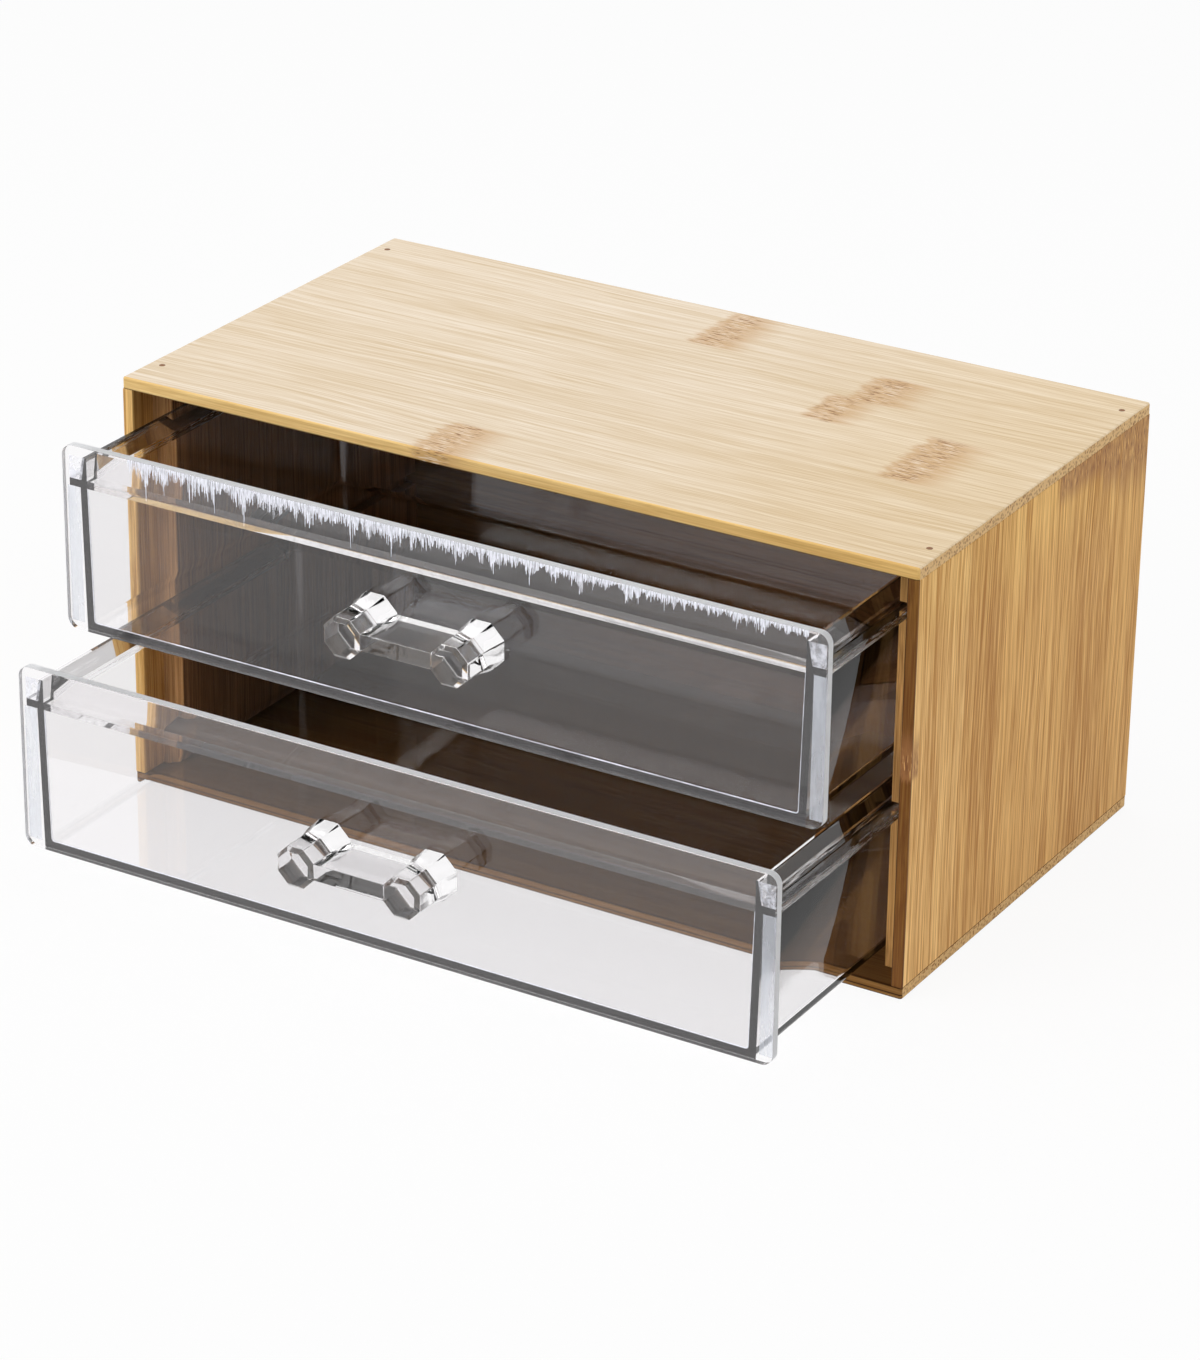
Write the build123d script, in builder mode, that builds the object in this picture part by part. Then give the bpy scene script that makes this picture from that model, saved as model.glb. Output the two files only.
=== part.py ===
from build123d import *
import os
from math import atan2, degrees, radians, tan

# Cosmetic storage chest: a bamboo case whose two clear drawers hang on runners in grooved guide boards.
# Millimetres, +Z up, drawers open towards -Y, +X to the right of a person facing them.
# The origin is the centre of the case's footprint on the table.

# Case
case_width = 225.0
case_depth = 124.0
case_height = 112.0
top_thickness = 3.0
bottom_thickness = 3.0
side_thickness = 3.0
back_thickness = 3.0
guide_thickness = 6.0
guide_setback = 8.3  # the guide boards stand back from the case's front edge
board_corner_radius = 0.8  # upright corners of the top and bottom boards
board_edge_radius = 0.5  # edges of their outer faces

# Brads, driven through the top and bottom boards into the guide boards
brad_diameter = 1.0
brad_head_diameter = 1.6
brad_head_thickness = 0.5
brad_length = 15.0
brad_tip_length = 1.2
brad_tip_diameter = 0.3
brad_joint_inset = 0.7  # brad axis inside the joint of side and guide boards
brad_front_inset = 12.0
brad_back_inset = 9.0
brad_hole_clearance = 0.02

# Drawer fronts
front_thickness = 2.3
front_reveal = 2.5  # gap beside, above, between and below the closed fronts
front_corner_radius = 3.0
front_stop_gap = 0.2  # closed front to the guide boards' front edges

# Drawer trays
tray_wall = 2.0
tray_floor = 2.0
tray_draft = 1.2  # degrees, on the sides and the back
tray_rim_drop = 3.3  # rim below the top edge of the front
tray_guide_gap = 0.5  # foot of the rim band to the guide board
tray_back_gap = 1.0  # foot of the rim band to the back board, closed
tray_corner_radius = 4.0
rim_taper = 11.0  # degrees, the rim band's outer faces lean in above the runners
rim_swell = 0.3  # foot of the rim band proud of the wall
rail_root = 0.5  # how far the front rail runs into the side walls
tray_floor_outer_radius = 2.0
tray_floor_inner_radius = 1.0

# Runners of the trays and grooves of the guide boards
runner_thickness = 2.0
runner_drop = 9.3  # runner's top below the top edge of the front
runner_engagement = 2.4  # how far the runner reaches into the groove
runner_end_radius = 1.5
groove_gap_below = 0.2
groove_gap_above = 1.6
groove_gap_beside = 0.8

# Handles, each a clear moulding of two eight-sided posts joined by a web
handle_spacing = 30.0
post_across_flats = 10.4
post_reach = 15.5
post_rim_chamfer = 1.0
post_flare = 1.05  # how far each flat spreads at the foot
post_flare_length = 5.0
web_setback = 1.0  # web's front edge behind the posts' ends

# How far each drawer stands open
upper_pull = 38.6
lower_pull = 59.3

# Levels and faces of the case
case_front = -case_depth / 2
case_back = case_depth / 2
inner_bottom = bottom_thickness
inner_top = case_height - top_thickness
inner_height = inner_top - inner_bottom
side_inner = case_width / 2 - side_thickness
guide_inner = side_inner - guide_thickness
guide_front = case_front + guide_setback
guide_back = case_back - back_thickness
guide_length = guide_back - guide_front

# Sizes and levels of the drawers, the upper one first
pulls = {"upper": upper_pull, "lower": lower_pull}
front_width = 2 * (side_inner - front_reveal)
front_height = (inner_height - (len(pulls) + 1) * front_reveal) / len(pulls)
front_tops = [inner_top - front_reveal - i * (front_height + front_reveal) for i in range(len(pulls))]
rim_height = runner_drop - tray_rim_drop
ledge_height = front_height - runner_drop
tray_front_closed = guide_front - front_stop_gap
tray_length = guide_back - tray_back_gap - tray_front_closed
rim_half_width = guide_inner - tray_guide_gap
wall_half_width = rim_half_width - rim_swell
cavity_half_width = wall_half_width - tray_wall
runner_outer = guide_inner + runner_engagement
runner_root = wall_half_width - tray_wall / 2
ledge_depth = runner_outer - rim_half_width
groove_depth = runner_engagement + groove_gap_beside
groove_height = groove_gap_below + runner_thickness + groove_gap_above

os.makedirs("parts", exist_ok=True)


def finish(part, label):
    """Name a finished piece and write its STEP file."""
    part.label = label
    export_step(part, f"parts/{label}.step")


def driven_brads(face, clearance=0.0):
    """Four brads driven in through a face of the case or, with a clearance, the holes they fill."""
    middle = (brad_front_inset - brad_back_inset) / 2
    spacing_x = 2 * (side_inner - brad_joint_inset)
    spacing_y = case_depth - brad_front_inset - brad_back_inset
    shank_radius = brad_diameter / 2 + clearance
    tip_radius = brad_tip_diameter / 2 + clearance
    taper = degrees(atan2(shank_radius - tip_radius, brad_tip_length))
    places = [Location((0, middle)) * place for place in GridLocations(spacing_x, spacing_y, 2, 2)]
    with BuildPart() as brads:
        with BuildSketch(face):
            with Locations(*places):
                Circle(brad_head_diameter / 2 + clearance)
        extrude(amount=-brad_head_thickness)
        with BuildSketch(face):
            with Locations(*places):
                Circle(shank_radius)
        extrude(amount=brad_tip_length - brad_length)
        with BuildSketch(face.offset(brad_tip_length - brad_length)):
            with Locations(*places):
                Circle(shank_radius)
        extrude(amount=-brad_tip_length, taper=taper)
    return brads.part


# Outer faces of the case that the brads enter, normals pointing out of the case
top_face = Plane.XY.offset(case_height)
bottom_face = Plane(origin=(0, 0, 0), x_dir=(1, 0, 0), z_dir=(0, 0, -1))

# Top board, over the sides and the back
with BuildPart() as top_board:
    with BuildSketch(Plane.XY.offset(inner_top)):
        RectangleRounded(case_width, case_depth, board_corner_radius)
    extrude(amount=top_thickness)
    fillet(top_board.faces().sort_by(Axis.Z)[-1].edges(), board_edge_radius)
    add(driven_brads(top_face, brad_hole_clearance), mode=Mode.SUBTRACT)
finish(top_board.part, "top_board")

# Bottom board, under the sides and the back, flat on the table
with BuildPart() as bottom_board:
    with BuildSketch(Plane.XY):
        RectangleRounded(case_width, case_depth, board_corner_radius)
    extrude(amount=bottom_thickness)
    fillet(bottom_board.faces().sort_by(Axis.Z)[0].edges(), board_edge_radius)
    add(driven_brads(bottom_face, brad_hole_clearance), mode=Mode.SUBTRACT)
finish(bottom_board.part, "bottom_board")

# Back board, between the sides, behind the guide boards
with BuildPart() as back_board:
    with BuildSketch(Plane.XY.offset(inner_bottom)):
        with Locations((0, guide_back)):
            Rectangle(2 * side_inner, back_thickness, align=(Align.CENTER, Align.MIN))
    extrude(amount=inner_height)
finish(back_board.part, "back_board")

# Side boards, and the thicker guide boards glued inside them with a groove for each drawer's runner
for side_name, side in (("left", -1), ("right", 1)):
    with BuildPart() as side_board:
        with BuildSketch(Plane.XY.offset(inner_bottom)):
            with Locations((side * (side_inner + side_thickness / 2), 0)):
                Rectangle(side_thickness, case_depth)
        extrude(amount=inner_height)
    finish(side_board.part, f"{side_name}_side_board")

    with BuildPart() as guide_board:
        with BuildSketch(Plane.XY.offset(inner_bottom)):
            with Locations((side * (guide_inner + guide_thickness / 2), guide_front)):
                Rectangle(guide_thickness, guide_length, align=(Align.CENTER, Align.MIN))
        extrude(amount=inner_height)
        for front_top in front_tops:
            groove_bottom = front_top - runner_drop - runner_thickness - groove_gap_below
            with BuildSketch(Plane.XY.offset(groove_bottom)):
                with Locations((side * (guide_inner + groove_depth / 2), guide_front)):
                    Rectangle(groove_depth, guide_length, align=(Align.CENTER, Align.MIN))
            extrude(amount=groove_height, mode=Mode.SUBTRACT)
        add(driven_brads(top_face, brad_hole_clearance), mode=Mode.SUBTRACT)
        add(driven_brads(bottom_face, brad_hole_clearance), mode=Mode.SUBTRACT)
    finish(guide_board.part, f"{side_name}_guide_board")

# Brads, four in the top board and four in the bottom board
finish(driven_brads(top_face), "top_brads")
finish(driven_brads(bottom_face), "bottom_brads")

# Drawers, each a moulded tray, open behind its front but for a rail, with a flat front and a handle cemented on
for (drawer_name, pull), front_top in zip(pulls.items(), front_tops):
    front_back = tray_front_closed - pull
    front_bottom = front_top - front_height
    tray_back = front_back + tray_length
    ledge = front_top - runner_drop
    rim = ledge + rim_height
    under_ledge = ledge - runner_thickness
    overrun = tray_length + 2 * tray_corner_radius
    draft = tan(radians(tray_draft))
    wall_inset = ledge_height * draft
    cavity_inset = (ledge_height - tray_floor) * draft
    cavity_radius = tray_corner_radius - tray_wall

    with BuildPart() as tray:
        # Outside of the walls and floor, up to the runners
        with BuildSketch(Plane.XY.offset(front_bottom)):
            with Locations((0, tray_back - rim_swell - wall_inset)):
                RectangleRounded(
                    2 * (wall_half_width - wall_inset), overrun, tray_corner_radius, align=(Align.CENTER, Align.MAX)
                )
        extrude(amount=ledge_height, taper=-tray_draft)
        split(bisect_by=Plane(origin=(0, front_back, 0), z_dir=(0, 1, 0)), keep=Keep.TOP)
        floor_rim = tray.faces().sort_by(Axis.Z)[0].edges().sort_by(Axis.Y)
        fillet(floor_rim[1:], tray_floor_outer_radius)

        # Cavity, open at the top and the front
        with BuildSketch(Plane.XY.offset(front_bottom + tray_floor)):
            with Locations((0, tray_back - rim_swell - tray_wall - cavity_inset)):
                RectangleRounded(
                    2 * (cavity_half_width - cavity_inset), overrun, cavity_radius, align=(Align.CENTER, Align.MAX)
                )
        extrude(amount=ledge_height - tray_floor, taper=-tray_draft, mode=Mode.SUBTRACT)
        cavity_floor = tray.faces().filter_by(Plane.XY).sort_by(Axis.Z)[1].edges().sort_by(Axis.Y)
        fillet(cavity_floor[1:], tray_floor_inner_radius)

        # Rim band above the runners
        with BuildSketch(Plane.XY.offset(ledge)):
            with Locations((0, tray_back)):
                RectangleRounded(2 * rim_half_width, overrun, tray_corner_radius, align=(Align.CENTER, Align.MAX))
        extrude(amount=rim_height, taper=rim_taper)
        split(bisect_by=Plane(origin=(0, front_back, 0), z_dir=(0, 1, 0)), keep=Keep.TOP)
        with BuildSketch(Plane.XY.offset(ledge)):
            with Locations((0, tray_back - rim_swell - tray_wall)):
                RectangleRounded(2 * cavity_half_width, overrun, cavity_radius, align=(Align.CENTER, Align.MAX))
        extrude(amount=rim_height, taper=-tray_draft, mode=Mode.SUBTRACT)

        # Front rail, the rim band and its ledge carried across behind the front
        rail_face = front_back + ledge_depth
        rail_back = rail_face + rim_swell + tray_wall
        with BuildSketch(Plane.YZ):
            with BuildLine():
                Polyline(
                    (front_back, under_ledge),
                    (front_back, ledge),
                    (rail_face, ledge),
                    (rail_face + rim_height * tan(radians(rim_taper)), rim),
                    (rail_back - rim_height * draft, rim),
                    (rail_back, ledge),
                    (rail_back, under_ledge),
                    close=True,
                )
            make_face()
        extrude(amount=cavity_half_width + rail_root, both=True)

        # Runners
        with BuildSketch(Plane.XY.offset(under_ledge)):
            for side in (-1, 1):
                with Locations((side * (runner_root + runner_outer) / 2, front_back)):
                    Rectangle(
                        runner_outer - runner_root,
                        tray_length - tray_corner_radius,
                        align=(Align.CENTER, Align.MIN),
                    )
        extrude(amount=runner_thickness)
        runner_corners = tray.edges().filter_by(Axis.Z).group_by(Axis.Y)[-1]
        fillet(runner_corners, runner_end_radius)
    finish(tray.part, f"{drawer_name}_drawer_tray")

    # Front, a flat plate with rounded corners
    front_plane = Plane(origin=(0, front_back, front_bottom + front_height / 2), x_dir=(1, 0, 0), z_dir=(0, -1, 0))
    with BuildPart() as front:
        with BuildSketch(front_plane):
            RectangleRounded(front_width, front_height, front_corner_radius)
        extrude(amount=front_thickness)
    finish(front.part, f"{drawer_name}_drawer_front")

    # Handle, its two posts centred on the front
    handle_plane = front_plane.offset(front_thickness)
    flare_taper = degrees(atan2(post_flare, post_flare_length))
    post_places = [Location((x, 0)) for x in (-handle_spacing / 2, handle_spacing / 2)]
    with BuildPart() as handle:
        with BuildSketch(handle_plane):
            with Locations(*post_places):
                RegularPolygon(post_across_flats / 2, 8, major_radius=False, rotation=22.5)
        extrude(amount=post_reach)
        chamfer(handle.faces().sort_by(Axis.Y)[:2].edges(), post_rim_chamfer)
        with BuildSketch(handle_plane):
            with Locations(*post_places):
                RegularPolygon(post_across_flats / 2 + post_flare, 8, major_radius=False, rotation=22.5)
        extrude(amount=post_flare_length, taper=flare_taper)
        with BuildSketch(handle_plane):
            Rectangle(handle_spacing - post_across_flats, post_across_flats * tan(radians(22.5)))
        extrude(amount=post_reach - web_setback)
    finish(handle.part, f"{drawer_name}_drawer_handle")
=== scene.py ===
import logging
import math
from dataclasses import dataclass, field
from enum import Enum
from typing import Sequence

import bmesh
import bpy
from mathutils import Matrix, Vector


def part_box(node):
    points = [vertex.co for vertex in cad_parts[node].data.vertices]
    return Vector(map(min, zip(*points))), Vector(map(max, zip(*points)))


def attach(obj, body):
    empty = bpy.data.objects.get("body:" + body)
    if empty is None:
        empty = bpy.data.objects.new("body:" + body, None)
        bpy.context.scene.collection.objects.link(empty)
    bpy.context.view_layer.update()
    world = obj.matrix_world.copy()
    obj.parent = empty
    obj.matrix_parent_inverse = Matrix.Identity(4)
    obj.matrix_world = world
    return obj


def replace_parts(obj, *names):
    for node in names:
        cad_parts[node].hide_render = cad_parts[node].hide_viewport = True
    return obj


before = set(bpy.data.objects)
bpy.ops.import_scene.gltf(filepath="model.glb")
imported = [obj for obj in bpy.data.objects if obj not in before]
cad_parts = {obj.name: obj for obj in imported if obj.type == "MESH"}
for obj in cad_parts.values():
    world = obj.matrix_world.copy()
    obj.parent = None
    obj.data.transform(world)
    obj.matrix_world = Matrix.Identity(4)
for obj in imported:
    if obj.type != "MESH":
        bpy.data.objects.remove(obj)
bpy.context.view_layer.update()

logging.basicConfig(level=logging.INFO, format="%(message)s")
log = logging.getLogger("cosmetic_chest")

MM = 0.001
WHITE = (1.0, 1.0, 1.0)
WELD_DISTANCE = 0.002 * MM
SAME_FACE = 0.01 * MM
FLAT_WITHIN = math.radians(0.2)
EASED_BEYOND = math.radians(30)
CREASED_BEYOND = math.radians(50)
ROUNDING_FACES = 2
ROUND_PROFILE = 0.5
LARGE_FACES_LEAD = 100

Tree = bpy.types.NodeTree
Node = bpy.types.Node
Socket = bpy.types.NodeSocket
Material = bpy.types.Material
Mesh = bpy.types.Mesh
Object = bpy.types.Object
Colour = tuple[float, float, float]
Place = tuple[float, float, float]
Span = tuple[float, float]


def srgb(red: int, green: int, blue: int) -> Colour:
    """Turn an 8-bit screen colour into scene-linear values.

    Args:
        red: Red, 0 to 255.
        green: Green, 0 to 255.
        blue: Blue, 0 to 255.

    Returns:
        The colour as three linear values.
    """
    def linear(value: int) -> float:
        """One channel in linear light."""
        share = value / 255
        return share / 12.92 if share <= 0.04045 else ((share + 0.055) / 1.055) ** 2.4

    return linear(red), linear(green), linear(blue)


class Grain(Enum):
    """Direction that a board's fibres run, as the axis order (along, across the strips, through)."""

    ACROSS_THE_CASE = ("X", "Y", "Z")
    UPRIGHT = ("Z", "Y", "X")


class Cement(Enum):
    """Where each pane of the film is, with its finish's place in the list of finishes: the joint's
    near-black panes are painted shade, the rest cement.
    """

    # Near-black painted shade in the joint, where the tray's walls seen end-on through the front look dark.
    PAINTED_SHADE_JOINT = 0
    RIM = 1
    LEDGE = 2
    HAZE = 3


class Graph:
    """Adds nodes to one node tree and links them, in short calls."""

    mix_inputs = (0, 6, 7)
    mix_result = 2

    def __init__(self, tree: Tree) -> None:
        """Work on one tree."""
        self.tree = tree

    def node(self, kind: str, **settings: object) -> Node:
        """Add a node.

        Args:
            kind: Blender's name for its type.
            **settings: Its properties by name.

        Returns:
            The node.
        """
        made = self.tree.nodes.new(kind)
        for name, value in settings.items():
            setattr(made, name, value)
        return made

    def feed(self, target: Socket, value: object) -> None:
        """Link a socket to an input, or set the input to a constant.

        Args:
            target: The input.
            value: The socket or the constant. A colour may leave out its alpha.
        """
        if isinstance(value, Socket):
            self.tree.links.new(value, target)
        else:
            target.default_value = (*value, 1.0) if target.type == "RGBA" and len(value) == 3 else value

    def feed_all(self, node: Node, *values: object) -> Socket:
        """Feed a node's inputs in their order.

        Args:
            node: The node.
            *values: What its first inputs take.

        Returns:
            Its first output.
        """
        for target, value in zip(node.inputs, values):
            self.feed(target, value)
        return node.outputs[0]

    def fill(self, node: Node, **values: object) -> Node:
        """Feed a node's inputs by name.

        Args:
            node: The node.
            **values: What its inputs take, by name, written with _ for a space.

        Returns:
            The node.
        """
        for name, value in values.items():
            self.feed(node.inputs[name.replace("_", " ")], value)
        return node

    def made_by(self, kind: str, **values: object) -> Socket:
        """The first output of a new node of this kind, fed by name."""
        return self.fill(self.node(kind), **values).outputs[0]

    def math(self, operation: str, *values: object, clamp: bool = False) -> Socket:
        """The result of a Math node, kept within 0 to 1 if clamp is set."""
        return self.feed_all(self.node("ShaderNodeMath", operation=operation, use_clamp=clamp), *values)

    def times(self, first: object, second: object) -> Socket:
        """The product of two values."""
        return self.math("MULTIPLY", first, second)

    def plus(self, first: object, second: object) -> Socket:
        """The sum of two values."""
        return self.math("ADD", first, second)

    def minus(self, first: object, second: object) -> Socket:
        """The first value less the second."""
        return self.math("SUBTRACT", first, second)

    def size(self, value: Socket) -> Socket:
        """A value without its sign."""
        return self.math("ABSOLUTE", value)

    def swing(self, noise: Socket, amount: object) -> Socket:
        """A noise about 0.5 turned into a swing about zero."""
        return self.times(self.minus(noise, 0.5), amount)

    def ramp(self, value: object, low: float, high: float, start: float = 0.0, end: float = 1.0) -> Socket:
        """Take a smooth step.

        Args:
            value: What the step goes by.
            low: Where it begins.
            high: Where it is done, which may be below low.
            start: The result at low.
            end: The result at high.

        Returns:
            The result.
        """
        made = self.node("ShaderNodeMapRange", interpolation_type="SMOOTHSTEP")
        return self.fill(made, Value=value, From_Min=low, From_Max=high, To_Min=start, To_Max=end).outputs[0]

    def fade(self, value: object, low: float, high: float) -> Socket:
        """A smooth step down, from 1 at low to 0 at high."""
        return self.ramp(value, low, high, 1.0, 0.0)

    def xyz(self, vector: Socket) -> dict[str, Socket]:
        """The parts of a vector, by axis letter."""
        parted = self.feed_all(self.node("ShaderNodeSeparateXYZ"), vector).node
        return dict(zip("XYZ", parted.outputs))

    def vector(self, *parts: object) -> Socket:
        """A vector of three parts."""
        return self.feed_all(self.node("ShaderNodeCombineXYZ"), *parts)

    def moved(self, operation: str, vector: Socket, other: object) -> Socket:
        """A vector after a Vector Math operation with another."""
        return self.feed_all(self.node("ShaderNodeVectorMath", operation=operation), vector, other)

    def noise(self, vector: Socket, scale: Place, detail: float = 2.0, roughness: float = 0.5) -> Socket:
        """Make a noise about 0.5.

        Args:
            vector: The place.
            scale: Its cycles per unit along each axis.
            detail: How many finer layers it has.
            roughness: How strong they are.

        Returns:
            The noise.
        """
        texture = self.node("ShaderNodeTexNoise", noise_dimensions="3D")
        stretched = self.moved("MULTIPLY", vector, scale)
        self.fill(texture, Vector=stretched, Scale=1.0, Detail=detail, Roughness=roughness)
        return texture.outputs["Fac"]

    def mix(self, factor: object, first: object, second: object, blend: str = "MIX") -> Socket:
        """Mix two colours.

        Args:
            factor: How much of the second shows.
            first: The first colour.
            second: The second colour.
            blend: Blender's name for the way they mix.

        Returns:
            The mixed colour.
        """
        made = self.node("ShaderNodeMix", data_type="RGBA", blend_type=blend)
        for number, value in zip(self.mix_inputs, (factor, first, second)):
            self.feed(made.inputs[number], value)
        return made.outputs[self.mix_result]

    def group(self, tree: Tree, **values: object) -> dict[str, Socket]:
        """Place a node group, fed by name, and give back its outputs by name."""
        made = self.fill(self.node("ShaderNodeGroup", node_tree=tree), **values)
        return {output.name: output for output in made.outputs}

    def bump(self, shader: Node, height: Socket, strength: float, depth: float) -> None:
        """Raise a relief on a Principled node's surface, where a height of 1 is this depth in metres."""
        relief = self.made_by("ShaderNodeBump", Height=height, Strength=strength, Distance=depth)
        self.fill(shader, Normal=relief)

    def surface(self, share: Socket, first: Socket, second: Socket) -> None:
        """Make the material's surface a blend of two shaders, with this share of the second."""
        blend = self.feed_all(self.node("ShaderNodeMixShader"), share, first, second)
        self.fill(self.tree.nodes["Material Output"], Surface=blend)


class NodeGroup:
    """A node group with named inputs and outputs."""

    kinds = {
        "float": "NodeSocketFloat", "whole": "NodeSocketInt", "vector": "NodeSocketVector",
        "colour": "NodeSocketColor", "shape": "NodeSocketGeometry", "finish": "NodeSocketMaterial",
    }

    def __init__(
        self, name: str, inputs: dict[str, str], outputs: dict[str, str], kind: str = "Shader"
    ) -> None:
        """Make the group's tree and its sockets.

        Args:
            name: The group's name.
            inputs: The kind of each input by name.
            outputs: The kind of each output by name.
            kind: Shader for a shared shader effect, or Geometry.
        """
        self.tree = bpy.data.node_groups.new(name, kind + "NodeTree")
        for direction, sockets in (("INPUT", inputs), ("OUTPUT", outputs)):
            for label, value in sockets.items():
                self.tree.interface.new_socket(label, in_out=direction, socket_type=self.kinds[value])
        self.graph = Graph(self.tree)
        self.given = self.graph.node("NodeGroupInput").outputs

    def put_out(self, **values: object) -> Tree:
        """Feed the group's outputs by name and give back its tree."""
        self.graph.fill(self.graph.node("NodeGroupOutput"), **values)
        return self.tree


class GrowingTree(NodeGroup):
    """A Geometry Nodes tree that ends in plain faces of one finish."""

    def __init__(self, name: str, inputs: dict[str, str]) -> None:
        """Make the tree, with a Finish input after those given and a Geometry output."""
        super().__init__(name, {**inputs, "Finish": "finish"}, {"Geometry": "shape"}, "Geometry")

    def end(self, grown: Socket) -> Tree:
        """Turn what has grown into plain faces of the finish.

        Args:
            grown: The grown shape.

        Returns:
            The whole tree.
        """
        real = self.graph.made_by("GeometryNodeRealizeInstances", Geometry=grown)
        dressed = self.graph.made_by("GeometryNodeSetMaterial", Geometry=real, Material=self.given["Finish"])
        return self.put_out(Geometry=dressed)


def bamboo_fibres() -> Tree:
    """Long fibres, soft bands and glued strips of bamboo.

    Returns:
        A group that takes millimetres along the grain (X), across it (Y) and through the board (Z).
    """
    made = NodeGroup(
        "bamboo fibres",
        {
            "Vector": "vector", "Strip Width": "float", "Light": "colour", "Dark": "colour",
            "Fibre Contrast": "float", "Band Contrast": "float", "Strip Contrast": "float",
        },
        {"Color": "colour", "Roughness": "float", "Height": "float"},
    )
    graph, given = made.graph, made.given
    wander_scale, sway, strip_shift = (0.012, 0.03, 0.03), 5.0, 400.0
    fibre_scale, hair_scale, band_scale = (0.012, 0.8, 0.8), (0.04, 2.2, 2.2), (0.004, 0.22, 0.22)
    hair_contrast, fibre_height, hair_height = 0.9, 0.6, 0.4
    seam_reach, seam_shade = (0.02, 0.22), 0.16
    hair_reach, hair_roughness = (0.2, 0.8), (0.62, 0.46)

    place = graph.xyz(given["Vector"])
    across = graph.plus(place["Y"], graph.swing(graph.noise(given["Vector"], wander_scale, 1.0), sway))
    strip = graph.math("DIVIDE", place["Y"], given["Strip Width"])
    white = graph.node("ShaderNodeTexWhiteNoise", noise_dimensions="1D")
    graph.fill(white, W=graph.math("FLOOR", strip))
    tone = white.outputs["Value"]
    bent = graph.vector(graph.plus(place["X"], graph.times(tone, strip_shift)), across, place["Z"])
    fine = graph.noise(bent, fibre_scale, 4.0, 0.8)
    hair = graph.noise(bent, hair_scale, 2.0, 0.7)
    bands = graph.noise(bent, band_scale, 3.0, 0.55)

    level = graph.plus(0.5, graph.swing(fine, given["Fibre Contrast"]))
    level = graph.plus(level, graph.swing(hair, graph.times(given["Fibre Contrast"], hair_contrast)))
    level = graph.plus(level, graph.swing(bands, given["Band Contrast"]))
    level = graph.math("ADD", level, graph.swing(tone, given["Strip Contrast"]), clamp=True)
    from_middle = graph.size(graph.minus(graph.math("FRACT", strip), 0.5))
    from_seam = graph.times(graph.minus(0.5, from_middle), given["Strip Width"])
    seam = graph.ramp(from_seam, *seam_reach, seam_shade, 0.0)
    return made.put_out(
        Color=graph.mix(seam, graph.mix(level, given["Dark"], given["Light"]), given["Dark"]),
        Roughness=graph.ramp(hair, *hair_reach, *hair_roughness),
        Height=graph.plus(graph.times(fine, fibre_height), graph.times(hair, hair_height)),
    )


def bamboo_knuckle() -> Tree:
    """The mark of a stem's knuckle across one strip.

    Returns:
        A group whose Tint is the mark's shade and whose Dashes and Pale are its short dark and pale flecks.
    """
    made = NodeGroup(
        "bamboo knuckle",
        {"Vector": "vector", "Centre": "vector", "Half Length": "float", "Half Width": "float"},
        {"Tint": "float", "Dashes": "float", "Pale": "float"},
    )
    graph, given = made.graph, made.given
    ragged_scale, raggedness, fleck_scale = (0.07, 0.6, 0.6), 2.2, (0.3, 2.8, 2.8)
    ahead, behind, beside, core = (-1.3, -0.8), (0.5, 2.6), (0.85, 1.08), (0.4, 1.2)
    dark_flecks, pale_flecks = (0.57, 0.66), (0.42, 0.34)

    place = graph.xyz(graph.moved("SUBTRACT", given["Vector"], given["Centre"]))
    ragged = graph.noise(given["Vector"], ragged_scale, 4.0, 0.8)
    along = graph.math("DIVIDE", place["X"], given["Half Length"])
    along = graph.plus(along, graph.swing(ragged, raggedness))
    across = graph.size(graph.math("DIVIDE", place["Y"], given["Half Width"]))
    in_strip = graph.fade(across, *beside)
    in_core = graph.times(graph.fade(graph.size(along), *core), in_strip)
    flecks = graph.noise(given["Vector"], fleck_scale, 1.0)
    return made.put_out(
        Tint=graph.times(graph.times(graph.ramp(along, *ahead), graph.fade(along, *behind)), in_strip),
        Dashes=graph.times(graph.ramp(flecks, *dark_flecks), in_core),
        Pale=graph.times(graph.ramp(flecks, *pale_flecks), in_core),
    )


def end_grain() -> Tree:
    """Cut ends of bamboo fibres: a fine pepper of dark bundles.

    Returns:
        A group that shades between the Light and Dark colours.
    """
    made = NodeGroup(
        "bamboo end grain", {"Vector": "vector", "Light": "colour", "Dark": "colour"}, {"Color": "colour"}
    )
    graph, given = made.graph, made.given
    bundles_per_mm, bundle_reach, bundle_shade, cloud_scale = 1.15, (0.2, 0.6), 1.4, (0.3, 0.3, 0.3)

    cells = graph.node("ShaderNodeTexVoronoi", feature="F1", distance="EUCLIDEAN")
    graph.fill(cells, Vector=given["Vector"], Scale=bundles_per_mm)
    dots = graph.ramp(cells.outputs["Distance"], *bundle_reach, bundle_shade, 0.0)
    dark = graph.times(dots, graph.noise(given["Vector"], cloud_scale, 2.0))
    return made.put_out(Color=graph.mix(dark, given["Light"], given["Dark"]))


def handling_marks() -> Tree:
    """Faint smears and moulding ripple of clear plastic.

    Returns:
        A group with a Roughness from Polished up to Polished plus Smeared, and a gentle Height.
    """
    made = NodeGroup(
        "handling marks",
        {"Vector": "vector", "Polished": "float", "Smeared": "float"},
        {"Roughness": "float", "Height": "float"},
    )
    graph, given = made.graph, made.given
    smear_scale, smear_reach, ripple_scale = (0.05, 0.05, 0.09), (0.45, 0.75), (0.035, 0.035, 0.035)

    share = graph.ramp(graph.noise(given["Vector"], smear_scale, 4.0, 0.6), *smear_reach)
    return made.put_out(
        Roughness=graph.plus(given["Polished"], graph.times(share, given["Smeared"])),
        Height=graph.noise(given["Vector"], ripple_scale, 1.0),
    )


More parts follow.
